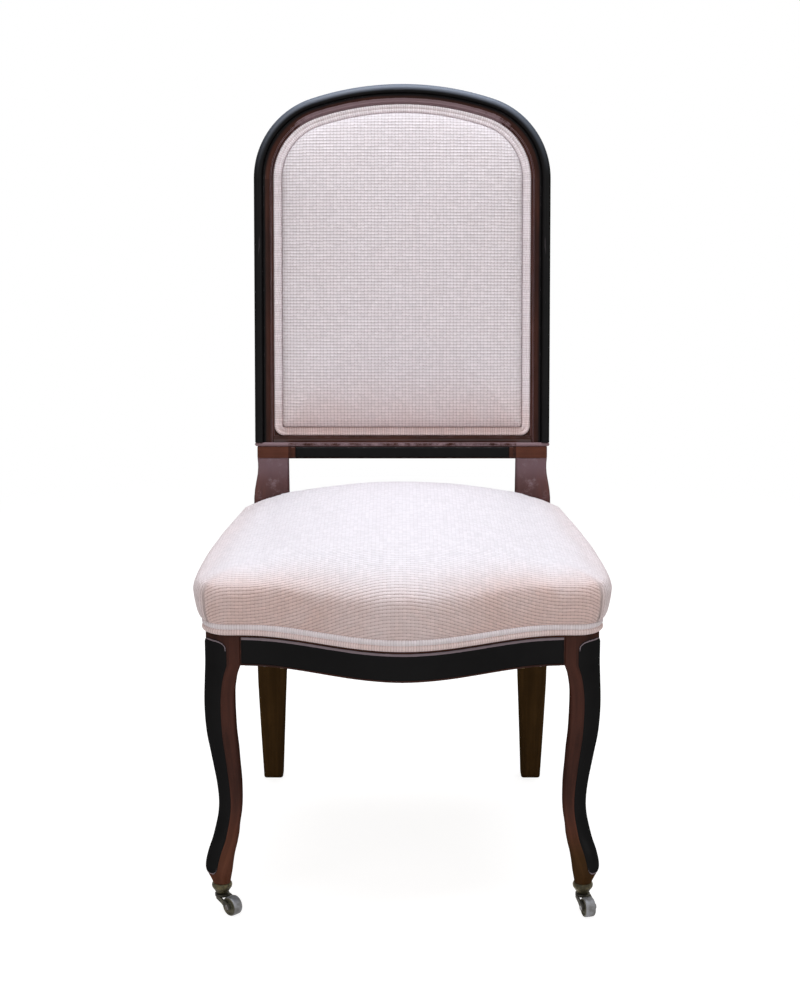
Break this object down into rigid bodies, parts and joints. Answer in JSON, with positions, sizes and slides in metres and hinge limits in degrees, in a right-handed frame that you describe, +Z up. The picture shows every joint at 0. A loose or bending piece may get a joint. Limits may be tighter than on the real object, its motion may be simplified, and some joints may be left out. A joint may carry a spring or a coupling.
{
  "type": "upholstered side chair",
  "caption": "Upholstered side chair with an arched padded back, a sprung serpentine seat, cabriole front legs on swivelling casters and raked rear legs.",
  "frame": {"origin": "on the floor under the middle of the chair's bounding box", "axes": "+Z up, -Y the way the chair faces, +X to the right of someone who stands before the chair and looks at its front, as the picture does; left and right in the names are as seen from there"},
  "size_m": [0.5018, 0.58, 0.9799],
  "materials": {
    "brown": "red-brown stain under worn French polish",
    "ebonised": "ebonised, glossy, worn along its edges",
    "beech": "raw, sawn",
    "upholstery": "coarse off-white basket weave with a pink cast",
    "jute": "plain woven jute",
    "hessian": "open plain weave",
    "horsehair": "teased fibre",
    "black_cloth": "thin plain weave",
    "steel": "blued, dull",
    "spring_steel": "copper-washed",
    "brass": "aged, dull",
    "dark_brass": "blackened",
    "wheel_brass": "worn grey on the tread"
  },
  "bodies": {
    "chair": {"front_leg_left": "brown", "front_leg_right": "brown", "rear_stile_left": "brown", "rear_stile_right": "brown", "front_seat_rail": "brown", "side_seat_rail_left": "brown", "side_seat_rail_right": "brown", "rear_seat_rail": "brown", "back_bottom_rail": "brown", "crest_rail": "brown", "crest_dowels": "beech", "leg_panel_left": "ebonised", "leg_panel_right": "ebonised", "front_rail_panel": "ebonised", "side_rail_panel_left": "ebonised", "side_rail_panel_right": "ebonised", "back_rail_panel": "ebonised", "corner_block_front_left": "beech", "corner_block_front_right": "beech", "corner_block_rear_left": "beech", "corner_block_rear_right": "beech", "corner_block_screws": "steel", "seat_webbing": "jute", "webbing_tacks": "steel", "seat_springs": "spring_steel", "spring_twine": "jute", "spring_hessian": "hessian", "seat_stuffing": "horsehair", "seat_cover": "upholstery", "seat_welt": "upholstery", "bottom_cloth": "black_cloth", "bottom_cloth_tacks": "steel", "back_webbing": "jute", "back_canvas": "hessian", "back_stuffing": "horsehair", "back_cover": "upholstery", "back_welt": "upholstery", "outer_back_cover": "upholstery", "outer_back_welt": "upholstery", "caster_cup_left": "brass", "caster_stem_left": "steel", "caster_cup_right": "brass", "caster_stem_right": "steel"},
    "swivel_left": {"caster_horn_left": "dark_brass", "caster_axle_left": "steel"},
    "wheel_left": {"caster_wheel_left": "wheel_brass"},
    "swivel_right": {"caster_horn_right": "dark_brass", "caster_axle_right": "steel"},
    "wheel_right": {"caster_wheel_right": "wheel_brass"}
  },
  "joints": [
    {"name": "caster_swivel_left", "type": "hinge", "parent": "chair", "child": "swivel_left", "pos_m": [-0.22146, -0.20521, 0.0212], "axis": [0, 0, 1], "continuous": true},
    {"name": "wheel_spin_left", "type": "hinge", "parent": "swivel_left", "child": "wheel_left", "pos_m": [-0.20802, -0.21864, 0.012], "axis": [0.7071, 0.7071, 0], "continuous": true},
    {"name": "caster_swivel_right", "type": "hinge", "parent": "chair", "child": "swivel_right", "pos_m": [0.22146, -0.20521, 0.0212], "axis": [0, 0, 1], "continuous": true},
    {"name": "wheel_spin_right", "type": "hinge", "parent": "swivel_right", "child": "wheel_right", "pos_m": [0.22669, -0.22347, 0.012], "axis": [0.9613, 0.2756, 0], "continuous": true}
  ]
}
